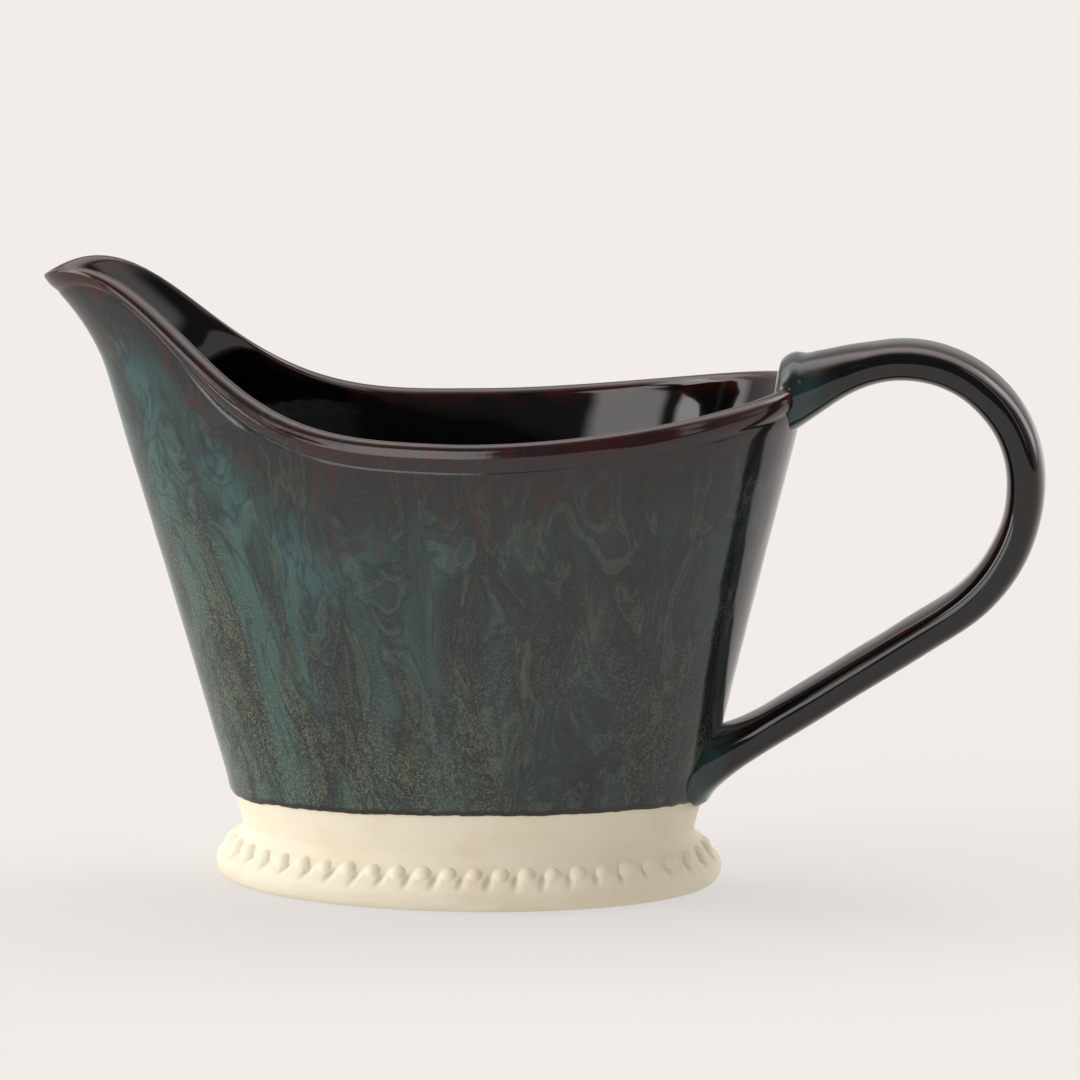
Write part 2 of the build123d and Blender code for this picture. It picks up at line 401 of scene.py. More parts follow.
def flow_tags(columns, grids):
    """Tags for the glaze: flow runs down with the slip, band is the distance from lip and lower edge."""
    flow, band = [], []
    for column, points in zip(columns, grids):
        round_spot = egg(column.bowl, column.turn, column.bowl.throat_height, 0)
        flow.append([(round_spot.x, round_spot.y, column.crest - p.z) for p in points])
        band.append([(column.crest - p.z, p.z - column.line, 0.0) for p in points])
    return {"flow": flow, "band": band}


MEET = radians(150)  # where the outer coat and the liner meet on the lip's inner shoulder


class GRAVY_OT_outer_glaze(bpy.types.Operator):
    """Dip the bowl: the outer coat, over the lip and down to its wavy lower edge"""

    bl_idname = "gravy.outer_glaze"
    bl_label = "Outer glaze"

    def execute(self, context):
        columns = columns_of(context.scene)
        glaze = context.scene.gravy_glaze
        grids = []
        for column in columns:
            over = column.outside(0.0) + column.rolled(0.0) + column.crested(0.0, 0.0, MEET)
            for i, share in enumerate((0.75, 1.0, 0.8, 0.35)):
                over[i] = over[i] + column.outward * glaze.bead * share
            over[0] = over[0] - column.outward * glaze.coat * 0.55
            coat = glaze.coat
            under = column.outside(coat) + column.rolled(coat) + column.crested(coat, 0.0, MEET)
            grids.append(over + under[::-1])
        piece = lofted("outer_glaze_coat", grids, flow_tags(columns, grids))
        fitted(piece, "reactive_glaze", reactive_glaze(), "outer_glaze", "lip_glaze")
        return {"FINISHED"}


class GRAVY_OT_liner_glaze(bpy.types.Operator):
    """Pour the liner: the coat inside, from the lip's inner shoulder to the middle of the floor"""

    bl_idname = "gravy.liner_glaze"
    bl_label = "Liner glaze"

    def execute(self, context):
        columns = columns_of(context.scene)
        coat = context.scene.gravy_glaze.coat
        grids = []
        for column in columns:
            over = column.crested(0.0, MEET, pi, 4) + column.inside(0.0)
            under = column.crested(coat, MEET, pi, 4) + column.inside(coat)
            grids.append(over + under[::-1])
        piece = lofted("liner_glaze_coat", grids, flow_tags(columns, grids))
        fitted(piece, "liner_glaze", liner_glaze(), "liner_glaze")
        return {"FINISHED"}


class GRAVY_OT_bowl_clay(bpy.types.Operator):
    """Throw the bowl: the clay under both coats, bare between the glaze line and the waist"""

    bl_idname = "gravy.bowl_clay"
    bl_label = "Bowl clay"

    def execute(self, context):
        scene = context.scene
        coat = scene.gravy_glaze.coat
        bowl = scene.gravy_bowl
        grids = []
        for column in columns_of(scene):
            bare = [
                column.wall_out(bowl.waist_height + (column.line - bowl.waist_height) * i / 14, coat)
                for i in range(14)
            ]
            base = bare[0]
            under = [base * (i / 6) for i in range(6)]
            for point in under:
                point.z = bowl.waist_height
            over = column.outside(coat, 30) + column.rolled(coat, 8)
            over += column.crested(coat, 0, pi) + column.inside(coat, 20)
            grids.append(under + bare + over)
        piece = lofted("bowl_clay", grids, closed_profile=False)
        fitted(piece, "stoneware", bare_stoneware(), "vessel")
        return {"FINISHED"}


# ---------------------------------------------------------------- the foot


def foot_reach(scene, z, contact, waist):
    """Half the foot's length or width at height z: a rolled edge, then a cove in to the waist."""
    foot = scene.gravy_foot
    if z <= foot.edge_height:
        return contact + foot.edge_out * sqrt(max(0.0, 1 - (1 - z / foot.edge_height) ** 2))
    up = (z - foot.edge_height) / (scene.gravy_bowl.waist_height - foot.edge_height)
    return contact + foot.edge_out + (waist - contact - foot.edge_out) * sin(pi / 2 * min(1.0, up)) ** 2


def foot_point(scene, turn, z):
    """A point of the foot's outer face."""
    foot, bowl, coat = scene.gravy_foot, scene.gravy_bowl, scene.gravy_glaze.coat
    return Vector((
        foot_reach(scene, z, foot.contact_length / 2, bowl.waist_length / 2 - coat) * cos(turn),
        foot_reach(scene, z, foot.contact_width / 2, bowl.waist_width / 2 - coat) * sin(turn),
        z,
    ))


def pearl_row(scene):
    """The count of pearls, and the running length along their row, taken at fine, even angles."""
    foot = scene.gravy_foot
    fine = 3600
    points = [foot_point(scene, tau * i / fine, foot.pearl_height) for i in range(fine + 1)]
    run = [0.0]
    for a, b in zip(points, points[1:]):
        run.append(run[-1] + (b - a).length)
    return int(run[-1] / foot.pearl_pitch), run


class GRAVY_OT_foot(bpy.types.Operator):
    """Turn the foot: a rolled edge and a cove, with a slanting tool mark pressed between the pearls"""

    bl_idname = "gravy.foot"
    bl_label = "Foot"

    def execute(self, context):
        scene = context.scene
        foot, bowl = scene.gravy_foot, scene.gravy_bowl
        count, run = pearl_row(scene)
        pitch = run[-1] / count
        fine = len(run) - 1
        columns, turns = 840, []
        j = 0
        for i in range(columns):
            goal = run[-1] * i / columns
            while run[j + 1] < goal:
                j += 1
            turns.append((tau * (j + (goal - run[j]) / (run[j + 1] - run[j])) / fine, goal))
        rows = 54
        heights = [bowl.waist_height * (1 - cos(pi * i / rows)) / 2 for i in range(6)]
        heights += [heights[-1] + (bowl.waist_height - heights[-1]) * (i + 1) / rows for i in range(rows)]
        grids = []
        for turn, along in turns:
            outer = []
            normal = Vector((cos(turn) / foot.contact_length, sin(turn) / foot.contact_width, 0))
            normal.normalize()
            number = round(along / pitch - 0.5)
            lean = 0.30 + 0.25 * noise.noise(Vector((number * 3.7, 0, 0)))
            size = 1.0 + 0.35 * noise.noise(Vector((number * 1.9, 5, 0)))
            for z in heights:
                point = foot_point(scene, turn, z)
                high = z - foot.pearl_height
                aside = along - (number + 0.5) * pitch - lean * high
                pressed = exp(-((aside / (0.85 * MM)) ** 2) - (high / (1.25 * MM)) ** 2) * size
                swell = 0.42 * MM * exp(-((high / (3.6 * MM)) ** 2))
                rough = 0.05 * MM * noise.noise(point / (1.3 * MM))
                rough += 0.16 * MM * noise.noise(point / (11 * MM))
                fade = min(1.0, z / (1.2 * MM), (bowl.waist_height - z) / (3 * MM))
                outer.append(point + normal * ((swell - foot.dimple_depth * pressed + rough) * fade))
            ring_in = Vector((
                (foot.contact_length / 2 - foot.ring_width) * cos(turn),
                (foot.contact_width / 2 - foot.ring_width) * sin(turn),
                0,
            ))
            top_in = Vector((
                (bowl.waist_length / 2 - foot.wall) * cos(turn),
                (bowl.waist_width / 2 - foot.wall) * sin(turn),
                bowl.waist_height,
            ))
            outer.append(outer[-1].lerp(top_in, 0.5))
            inner = [top_in.lerp(ring_in, t) for t in (0.0, 0.25, 0.5, 0.75, 0.93)]
            bottom = [ring_in + (outer[0] - ring_in) * t for t in (0.12, 0.5, 0.9)]
            grids.append(outer + inner + bottom)
        piece = lofted("foot", grids)
        fitted(piece, "stoneware", bare_stoneware(), "foot_ring")
        return {"FINISHED"}


def node(tree, kind, inputs=None, out=None, **settings):
    """Adds a node with its properties, and its inputs as sockets or values; gives the node or one output."""
    made = tree.nodes.new(kind)
    for key, value in settings.items():
        setattr(made, key, value)
    for name, value in (inputs or {}).items():
        if isinstance(value, bpy.types.NodeSocket):
            tree.links.new(value, made.inputs[name])
        else:
            made.inputs[name].default_value = value
    return made if out is None else made.outputs[out]


def per_unit(x, y, z):
    """The factor that gives a pattern one unit in x, y and z millimetres."""
    return (1 / (x * MM), 1 / (y * MM), 1 / (z * MM))


def pearl_tree():
    """Pearls set evenly round an oval: an oval line, resampled, with a ball on each point."""
    tree = bpy.data.node_groups.new("Pearl border", "GeometryNodeTree")
    face = tree.interface
    face.new_socket("Geometry", in_out="INPUT", socket_type="NodeSocketGeometry")
    sockets = {
        "Half length": "Float",
        "Half width": "Float",
        "Height": "Float",
        "Count": "Int",
        "Radius": "Float",
        "Seed": "Int",
        "Material": "Material",
    }
    for name, kind in sockets.items():
        face.new_socket(name, in_out="INPUT", socket_type="NodeSocket" + kind)
    face.new_socket("Geometry", in_out="OUTPUT", socket_type="NodeSocketGeometry")
    start = node(tree, "NodeGroupInput").outputs
    circle = node(tree, "GeometryNodeCurvePrimitiveCircle", {"Resolution": 512, "Radius": 1.0})
    size = node(tree, "ShaderNodeCombineXYZ", {
        "X": start["Half length"],
        "Y": start["Half width"],
        "Z": 1.0,
    })
    place = node(tree, "ShaderNodeCombineXYZ", {"Z": start["Height"]})
    oval = node(tree, "GeometryNodeTransform", {
        "Geometry": circle.outputs["Curve"],
        "Scale": size.outputs[0],
        "Translation": place.outputs[0],
    })
    row = node(tree, "GeometryNodeResampleCurve", {"Curve": oval.outputs[0], "Count": start["Count"]})
    tangent = node(tree, "GeometryNodeInputTangent")
    turned = node(tree, "FunctionNodeAlignRotationToVector", {"Vector": tangent.outputs[0]}, axis="X")
    ball = node(tree, "GeometryNodeMeshUVSphere", {"Segments": 28, "Rings": 16, "Radius": start["Radius"]})
    vary = node(tree, "FunctionNodeRandomValue", {"Seed": start["Seed"]}, data_type="FLOAT")
    vary.inputs[2].default_value, vary.inputs[3].default_value = 0.93, 1.04
    pearls = node(tree, "GeometryNodeInstanceOnPoints", {
        "Points": row.outputs[0],
        "Instance": ball.outputs["Mesh"],
        "Rotation": turned.outputs[0],
        "Scale": vary.outputs[1],
    })
    real = node(tree, "GeometryNodeRealizeInstances", {"Geometry": pearls.outputs[0]})
    smooth = node(tree, "GeometryNodeSetShadeSmooth", {"Geometry": real.outputs[0]})
    dressed = node(tree, "GeometryNodeSetMaterial", {
        "Geometry": smooth.outputs[0],
        "Material": start["Material"],
    })
    node(tree, "NodeGroupOutput", {"Geometry": dressed.outputs[0]})
    return tree


class GRAVY_OT_pearls(bpy.types.Operator):
    """Set the pearls: one row round the cove of the foot"""

    bl_idname = "gravy.pearls"
    bl_label = "Pearl border"

    def execute(self, context):
        scene = context.scene
        foot = scene.gravy_foot
        count, _ = pearl_row(scene)
        long_way, wide_way = (
            foot_point(scene, 0, foot.pearl_height),
            foot_point(scene, pi / 2, foot.pearl_height),
        )
        blank = bpy.data.objects.new("pearl_border_blank", bpy.data.meshes.new("pearl_border_blank"))
        scene.collection.objects.link(blank)
        modifier = blank.modifiers.new("Pearls", "NODES")
        modifier.node_group = pearl_tree()
        values = {
            "Half length": long_way.x - foot.pearl_sunk,
            "Half width": wide_way.y - foot.pearl_sunk,
            "Height": foot.pearl_height,
            "Count": count,
            "Radius": foot.pearl_radius,
            "Seed": 4,
            "Material": bare_stoneware(),
        }
        for item in modifier.node_group.interface.items_tree:
            if item.in_out == "INPUT" and item.name in values:
                modifier[item.identifier] = values[item.name]
        graph = context.evaluated_depsgraph_get()
        mesh = bpy.data.meshes.new_from_object(blank.evaluated_get(graph))
        bpy.data.objects.remove(blank)
        mesh.name = "pearl_border"
        piece = bpy.data.objects.new("pearl_border", mesh)
        scene.collection.objects.link(piece)
        fitted(piece, "stoneware", bare_stoneware(), "bead_border")
        return {"FINISHED"}


# ---------------------------------------------------------------- the handle


def strap_path(scene, step=1.1 * MM, sunk=9.0 * MM):
    """The strap's middle line in the XZ plane, from inside the wall at the rim round to the low landing."""
    bowl, handle = scene.gravy_bowl, scene.gravy_handle
    rear_rim = bowl.rim_height + bowl.rear_rise

    def rear_wall(z):
        return bowl.waist_length / 2 + bowl.rear_lean * (z - bowl.waist_height)

    back = rear_wall(rear_rim) + handle.reach
    height = rear_rim - handle.drop
    top_centre = Vector((back - handle.top_radius, 0, height))
    back_centre = Vector((back - handle.back_radius, 0, height))
    landing_height = bowl.waist_height + handle.foot_height
    landing = Vector((rear_wall(landing_height), 0, landing_height))
    away = back_centre - landing
    slope = atan2(away.z, away.x) - asin(handle.back_radius / away.length)
    low_way = Vector((cos(slope), 0, sin(slope)))
    top_way = Vector((sin(handle.top_angle), 0, -cos(handle.top_angle)))
    top_start = top_centre + Vector((cos(handle.top_angle), 0, sin(handle.top_angle))) * handle.top_radius
    span = (top_start.x - rear_wall(top_start.z)) / (top_way.x - bowl.rear_lean * top_way.z)
    tangent_reach = sqrt(away.length_squared - handle.back_radius**2)
    points = []

    def straight(start, end):
        steps = max(2, round((end - start).length / step))
        points.extend(start.lerp(end, i / steps) for i in range(steps))

    def bend(centre, radius, start, end):
        steps = round(abs(end - start) * radius / step)
        turns = [start + (end - start) * i / steps for i in range(steps)]
        points.extend(centre + Vector((cos(t), 0, sin(t))) * radius for t in turns)

    straight(top_start - top_way * (span + sunk), top_start)
    bend(top_centre, handle.top_radius, handle.top_angle, 0)
    bend(back_centre, handle.back_radius, 0, slope - pi / 2)
    straight(landing + low_way * tangent_reach, landing - low_way * sunk)
    for _ in range(14):
        eased = [(a + b * 2 + c) / 4 for a, b, c in zip(points, points[1:], points[2:])]
        points = [points[0], *eased, points[-1]]
    return points


def wall_gap(bowl, point):
    """Distance from a point behind the bowl to its rear wall, negative inside the wall."""
    turn = 0.0
    for _ in range(6):
        section = egg(bowl, turn, point.z, 0)
        turn = asin(
            max(
                -1.0,
                min(1.0, sin(turn) + (point.y - section.y) / max(abs(section.y), bowl.waist_width / 2)),
            ),
        )
    return (point.x - egg(bowl, turn, point.z, 0).x) / sqrt(1 + bowl.rear_lean**2)


def strap_rings(scene, depth, flared, spokes=52):
    """Rounded oblong sections of the strap along its path, with tags; flared ones spread onto the wall."""
    bowl, handle = scene.gravy_bowl, scene.gravy_handle
    path = strap_path(scene)
    rings, flow, band = [], [], []
    across_way = Vector((0, 1, 0))
    run = 0.0
    power = 2 / handle.squareness
    for i, point in enumerate(path):
        before, after = path[max(0, i - 1)], path[min(len(path) - 1, i + 1)]
        way = (after - before).normalized()
        up = across_way.cross(way).normalized()
        run += (point - before).length if i else 0.0
        left = (len(path) - 1 - i) * 1.1 * MM
        spread = 2.2 * MM * exp(-((run / (21 * MM)) ** 2)) + 0.8 * MM * exp(-((left / (20 * MM)) ** 2))
        ring, ring_flow, ring_band = [], [], []
        for k in range(spokes):
            t = tau * k / spokes
            c, s = cos(t), sin(t)
            across = (handle.width / 2 + spread - depth) * (abs(c) ** power) * (1 if c > 0 else -1)
            thick = (handle.thickness / 2 - depth) * (abs(s) ** power) * (1 if s > 0 else -1)
            spot = point + across_way * across + up * thick
            upper = run < left
            below = max(0.0, -s) if upper else 0.0
            above = max(0.0, s) if upper else 0.0
            gap = wall_gap(bowl, spot)
            if upper:
                crest = crest_at(bowl, max(0.0, spot.x - gap)) + 0.4 * MM
                ceiling = crest + gap * (1.15 if gap > 0 else 0.3) - depth
                spot.z = min(spot.z, ceiling)
            spot.x += max(0.0, -gap - 0.6 * bowl.wall + depth)
            reach = handle.flare_length * (1 + 0.5 * below)
            gap = max(0.0, gap)
            if flared and gap < reach:
                share = 1 - gap / reach
                size = (1 + (handle.under_rim - 1) * below) * (1 - above) ** 4
                flare = handle.flare * size * (0.55 + 0.45 * below if upper else 1.0)
                fillet = (1 - sqrt(1 - share**2)) ** 0.8
                spot = spot + (across_way * c + up * s).normalized() * flare * fillet
            swell = 0.16 * MM * noise.noise(Vector((run, across * 0.7, thick)) / (11 * MM))
            spot = spot + (across_way * c + up * s).normalized() * (swell if depth == 0 else 0.0)
            ring.append(spot)
            ring_flow.append((across, thick, run))
            ring_band.append((min(run, left) - 9 * MM, 0.0, abs(sin(2 * t)) ** 1.5))
        rings.append(ring)
        flow.append(ring_flow)
        band.append(ring_band)
    return rings, {"flow": flow, "band": band}


def swept(name, outer, inner=None, tags=None):
    """A closed mesh from rings along a path, capped at both ends; with inner rings it is a sleeve."""
    bm = bmesh.new()
    layers = {key: bm.verts.layers.float_vector.new(key) for key in (tags or {})}

    def skin(rings):
        grid = []
        for i, ring in enumerate(rings):
            verts = [bm.verts.new(p) for p in ring]
            for k, vert in enumerate(verts):
                for key, layer in layers.items():
                    vert[layer] = tags[key][i][k]
            grid.append(verts)
        spokes = len(grid[0])
        for a, b in zip(grid, grid[1:]):
            for k in range(spokes):
                bm.faces.new((a[k], a[(k + 1) % spokes], b[(k + 1) % spokes], b[k]))
        return grid

    over = skin(outer)
    if inner is None:
        bm.faces.new(over[0])
        bm.faces.new(over[-1])
    else:
        under = skin(inner)
        spokes = len(over[0])
        for a, b in ((over[0], under[0]), (over[-1], under[-1])):
            for k in range(spokes):
                bm.faces.new((a[k], a[(k + 1) % spokes], b[(k + 1) % spokes], b[k]))
    return finished(name, bm)


class GRAVY_OT_handle(bpy.types.Operator):
    """Pull the handle: a clay strap with slip-welded joints, dipped in dark glaze"""

    bl_idname = "gravy.handle"
    bl_label = "Handle"

    def execute(self, context):
        scene = context.scene
        coat = scene.gravy_glaze.coat
        flared, tags = strap_rings(scene, 0.0, True)
        welded, _ = strap_rings(scene, coat, True)
        plain, _ = strap_rings(scene, coat, False)
        coat_piece = swept("handle_glaze_coat", flared, welded, tags)
        fitted(coat_piece, "dark_glaze", dark_glaze(), "handle_glaze")
        fitted(swept("handle_strap", plain), "stoneware", bare_stoneware(), "handle")
        length_of_joint = 20
        upper = swept("upper_joint", welded[:length_of_joint], plain[:length_of_joint])
        fitted(upper, "stoneware", bare_stoneware(), "upper_handle_joint")
        lower = swept("lower_joint", welded[-length_of_joint:], plain[-length_of_joint:])
        fitted(lower, "stoneware", bare_stoneware(), "lower_handle_joint")
        return {"FINISHED"}


# ---------------------------------------------------------------- materials


def material(name):
    """A new node material with its shader."""
    made = bpy.data.materials.new(name)
    made.use_nodes = True
    tree = made.node_tree
    tree.nodes.clear()
    shader = node(tree, "ShaderNodeBsdfPrincipled")
    node(tree, "ShaderNodeOutputMaterial", {"Surface": shader.outputs[0]})
    return made, tree, shader


def reactive_glaze():
    """Reactive stoneware glaze, dipped and fired to cone 6: glossy, with runs where the melt slid down."""
    paint = bpy.context.scene.gravy_colours
    made, tree, shader = material("Reactive stoneware glaze")
    spot = node(tree, "ShaderNodeTexCoord").outputs["Object"]
    flow = node(tree, "ShaderNodeAttribute", attribute_name="flow").outputs["Vector"]
    band = node(tree, "ShaderNodeAttribute", attribute_name="band").outputs["Vector"]
    bands = node(tree, "ShaderNodeSeparateXYZ", {"Vector": band}).outputs
    place = node(tree, "ShaderNodeSeparateXYZ", {"Vector": spot}).outputs

    # slip and glaze run in lobes some 12 mm wide and 35 mm long, which wander
    wander = node(tree, "ShaderNodeTexNoise", {
        "Vector": node(tree, "ShaderNodeVectorMath", {
            0: flow,
            1: per_unit(22, 22, 30),
        }, out=0, operation="MULTIPLY"),
        "Scale": 1.0,
        "Detail": 1.0,
    })
    shift = node(tree, "ShaderNodeVectorMath", operation="MULTIPLY_ADD")
    tree.links.new(wander.outputs["Color"], shift.inputs[0])
    shift.inputs[1].default_value = (0.016, 0.016, 0.022)
    tree.links.new(flow, shift.inputs[2])
    bent = shift.outputs[0]
    lobes = node(tree, "ShaderNodeTexNoise", {
        "Vector": node(tree, "ShaderNodeVectorMath", {
            0: bent,
            1: per_unit(11, 11, 34),
        }, out=0, operation="MULTIPLY"),
        "Scale": 1.0,
        "Detail": 3.0,
    }, out="Fac")
    hairs = node(tree, "ShaderNodeTexNoise", {
        "Vector": node(tree, "ShaderNodeVectorMath", {
            0: bent,
            1: per_unit(1.9, 1.9, 22),
        }, out=0, operation="MULTIPLY"),
        "Scale": 1.0,
        "Detail": 4.0,
        "Roughness": 0.6,
    }, out="Fac")
    wisps = node(tree, "ShaderNodeTexNoise", {
        "Vector": node(tree, "ShaderNodeVectorMath", {
            0: bent,
            1: per_unit(5, 5, 15),
        }, out=0, operation="MULTIPLY"),
        "Scale": 1.0,
        "Detail": 3.0,
        "Distortion": 0.8,
    }, out="Fac")
    patches = node(tree, "ShaderNodeTexNoise", {
        "Vector": node(tree, "ShaderNodeVectorMath", {
            0: flow,
            1: per_unit(34, 34, 46),
        }, out=0, operation="MULTIPLY"),
        "Scale": 1.0,
        "Detail": 2.0,
    }, out="Fac")

    # the melt folds into veins along lines some 17 mm apart
    melt = node(tree, "ShaderNodeTexNoise", {
        "Vector": node(tree, "ShaderNodeVectorMath", {
            0: bent,
            1: per_unit(17, 17, 36),
        }, out=0, operation="MULTIPLY"),
        "Scale": 1.0,
        "Detail": 4.0,
        "Distortion": 1.9,
        "Roughness": 0.58,
    }, out="Fac")
    vein = node(tree, "ShaderNodeMapRange", {
        "Value": node(tree, "ShaderNodeMath", {
            0: node(tree, "ShaderNodeMath", {0: melt, 1: 0.5}, out=0, operation="SUBTRACT"),
        }, out=0, operation="ABSOLUTE"),
        "From Min": 0.045,
        "From Max": 0.0,
    }, out=0, interpolation_type="SMOOTHSTEP")
    light_vein = node(tree, "ShaderNodeMapRange", {
        "Value": node(tree, "ShaderNodeMath", {
            0: node(tree, "ShaderNodeMath", {0: melt, 1: 0.585}, out=0, operation="SUBTRACT"),
        }, out=0, operation="ABSOLUTE"),
        "From Min": 0.035,
        "From Max": 0.0,
    }, out=0, interpolation_type="SMOOTHSTEP")
    # crystals some 0.3 mm across, drawn as specks of 0.5 mm so that they show
    crystals = node(tree, "ShaderNodeTexNoise", {
        "Vector": node(tree, "ShaderNodeVectorMath", {
            0: spot,
            1: per_unit(0.5, 0.5, 0.5),
        }, out=0, operation="MULTIPLY"),
        "Scale": 1.0,
        "Detail": 2.0,
        "Roughness": 0.7,
    }, out="Fac")

    # The spout side faces the soft boxes and the light from the left. This mask makes the glaze there more teal and
    # olive, which is painted light on the lit side. The teal lobes and olive crystals it weights are the glaze's
    # own colour.
    lit_spout_side = node(tree, "ShaderNodeMapRange", {
        "Value": place["X"],
        "From Min": 0.05,
        "From Max": -0.07,
    }, out=0, interpolation_type="SMOOTHSTEP")
    high = node(tree, "ShaderNodeMapRange", {
        "Value": place["Z"],
        "From Min": 0.035,
        "From Max": 0.105,
    }, out=0, interpolation_type="SMOOTHSTEP")
    teal = node(tree, "ShaderNodeMath", {
        0: node(tree, "ShaderNodeMapRange", {
            "Value": lobes,
            "From Min": 0.36,
            "From Max": 0.7,
        }, out=0, interpolation_type="SMOOTHSTEP"),
        1: node(tree, "ShaderNodeMath", {
            0: node(tree, "ShaderNodeMath", {0: lit_spout_side, 1: 0.75}, out=0, operation="MULTIPLY"),
            1: 0.3,
        }, out=0, operation="ADD"),
    }, out=0, operation="MULTIPLY")
    # More teal high up on the spout side: painted light.
    teal = node(tree, "ShaderNodeMath", {
        0: teal,
        1: node(tree, "ShaderNodeMath", {
            0: node(tree, "ShaderNodeMath", {0: lit_spout_side, 1: high}, out=0, operation="MULTIPLY"),
            1: 0.35,
        }, out=0, operation="MULTIPLY"),
    }, out=0, operation="ADD")
    teal = node(tree, "ShaderNodeMath", {
        0: teal,
        1: node(tree, "ShaderNodeMapRange", {
            "Value": bands["X"],
            "From Min": 0.009,
            "From Max": 0.03,
        }, out=0, interpolation_type="SMOOTHSTEP"),
    }, out=0, operation="MULTIPLY")
    tone = node(tree, "ShaderNodeMix", {
        0: node(tree, "ShaderNodeMath", {0: teal, 1: 0.9}, out=0, operation="MULTIPLY"),
        6: paint.charcoal,
        7: paint.teal,
    }, out=2, data_type="RGBA")
    # Olive crystals denser low on the spout side: painted light.
    lit_low_spout_side = node(tree, "ShaderNodeMath", {
        0: lit_spout_side,
        1: node(tree, "ShaderNodeMapRange", {
            "Value": bands["X"],
            "From Min": 0.03,
            "From Max": 0.08,
        }, out=0, interpolation_type="SMOOTHSTEP"),
    }, out=0, operation="MULTIPLY")
    # The thin-coat patches are the glaze's own colour; the spout-side share added here is painted light.
    thin = node(tree, "ShaderNodeMath", {
        0: node(tree, "ShaderNodeMath", {
            0: node(tree, "ShaderNodeMapRange", {
                "Value": patches,
                "From Min": 0.4,
                "From Max": 0.62,
            }, out=0, interpolation_type="SMOOTHSTEP"),
            1: node(tree, "ShaderNodeMapRange", {
                "Value": bands["X"],
                "From Min": 0.03,
                "From Max": 0.08,
            }, out=0, interpolation_type="SMOOTHSTEP"),
        }, out=0, operation="MULTIPLY"),
        1: lit_low_spout_side,
    }, out=0, operation="ADD")
    speckled = node(tree, "ShaderNodeMath", {
        0: node(tree, "ShaderNodeMapRange", {
            "Value": crystals,
            "From Min": 0.42,
            "From Max": 0.66,
        }, out=0, interpolation_type="SMOOTHSTEP"),
        1: node(tree, "ShaderNodeMath", {
            0: node(tree, "ShaderNodeMath", {0: thin, 1: 0.5}, out=0, operation="MULTIPLY"),
            1: 0.16,
        }, out=0, operation="ADD"),
    }, out=0, operation="MULTIPLY")
    tone = node(tree, "ShaderNodeMix", {0: speckled, 6: tone, 7: paint.olive}, out=2, data_type="RGBA")
    pale = node(tree, "ShaderNodeMath", {
        0: node(tree, "ShaderNodeMapRange", {
            "Value": wisps,
            "From Min": 0.56,
            "From Max": 0.72,
        }, out=0, interpolation_type="SMOOTHSTEP"),
        1: 0.25,
    }, out=0, operation="MULTIPLY")
    tone = node(tree, "ShaderNodeMix", {0: pale, 6: tone, 7: paint.olive}, out=2, data_type="RGBA")
    dark_run = node(tree, "ShaderNodeMath", {
        0: node(tree, "ShaderNodeMapRange", {
            "Value": hairs,
            "From Min": 0.56,
            "From Max": 0.74,
        }, out=0, interpolation_type="SMOOTHSTEP"),
        1: 0.6,
    }, out=0, operation="MULTIPLY")
    tone = node(tree, "ShaderNodeMix", {0: dark_run, 6: tone, 7: paint.plum}, out=2, data_type="RGBA")
    tone = node(tree, "ShaderNodeMix", {
        0: node(tree, "ShaderNodeMath", {0: light_vein, 1: 0.24}, out=0, operation="MULTIPLY"),
        6: tone,
        7: paint.olive,
    }, out=2, data_type="RGBA")
    tone = node(tree, "ShaderNodeMix", {
        0: node(tree, "ShaderNodeMath", {0: vein, 1: 0.5}, out=0, operation="MULTIPLY"),
        6: tone,
        7: linear("#10161a"),
    }, out=2, data_type="RGBA")
    collar = node(tree, "ShaderNodeMapRange", {
        "Value": node(tree, "ShaderNodeMath", {
            0: bands["X"],
            1: node(tree, "ShaderNodeMath", {0: hairs, 1: 0.022}, out=0, operation="MULTIPLY"),
        }, out=0, operation="ADD"),
        "From Min": 0.036,
        "From Max": 0.014,
    }, out=0, interpolation_type="SMOOTHSTEP")
    # The plum collar fades on the spout side, which is painted lighter: painted light.
    collar = node(tree, "ShaderNodeMath", {
        0: collar,
        1: node(tree, "ShaderNodeMath", {
            0: 0.92,
            1: node(tree, "ShaderNodeMath", {0: lit_spout_side, 1: 0.5}, out=0, operation="MULTIPLY"),
        }, out=0, operation="SUBTRACT"),
    }, out=0, operation="MULTIPLY")
    tone = node(tree, "ShaderNodeMix", {0: collar, 6: tone, 7: paint.plum}, out=2, data_type="RGBA")
    flecks = node(tree, "ShaderNodeMath", {
        0: node(tree, "ShaderNodeMapRange", {
            "Value": wisps,
            "From Min": 0.58,
            "From Max": 0.66,
        }, out=0, interpolation_type="SMOOTHSTEP"),
        1: node(tree, "ShaderNodeMapRange", {
            "Value": bands["X"],
            "From Min": 0.045,
            "From Max": 0.008,
        }, out=0, interpolation_type="SMOOTHSTEP"),
    }, out=0, operation="MULTIPLY")
    tone = node(tree, "ShaderNodeMix", {
        0: node(tree, "ShaderNodeMath", {0: flecks, 1: 0.75}, out=0, operation="MULTIPLY"),
        6: tone,
        7: paint.rust,
    }, out=2, data_type="RGBA")
    lip = node(tree, "ShaderNodeMath", {
        0: node(tree, "ShaderNodeMapRange", {
            "Value": bands["X"],
            "From Min": 0.0062,
            "From Max": 0.0035,
        }, out=0, interpolation_type="SMOOTHSTEP"),
        1: node(tree, "ShaderNodeMapRange", {
            "Value": wisps,
            "From Min": 0.35,
            "From Max": 0.65,
            "To Min": 0.15,
            "To Max": 0.75,
        }, out=0, interpolation_type="SMOOTHSTEP"),
    }, out=0, operation="MULTIPLY")
    tone = node(tree, "ShaderNodeMix", {0: lip, 6: tone, 7: paint.rust}, out=2, data_type="RGBA")
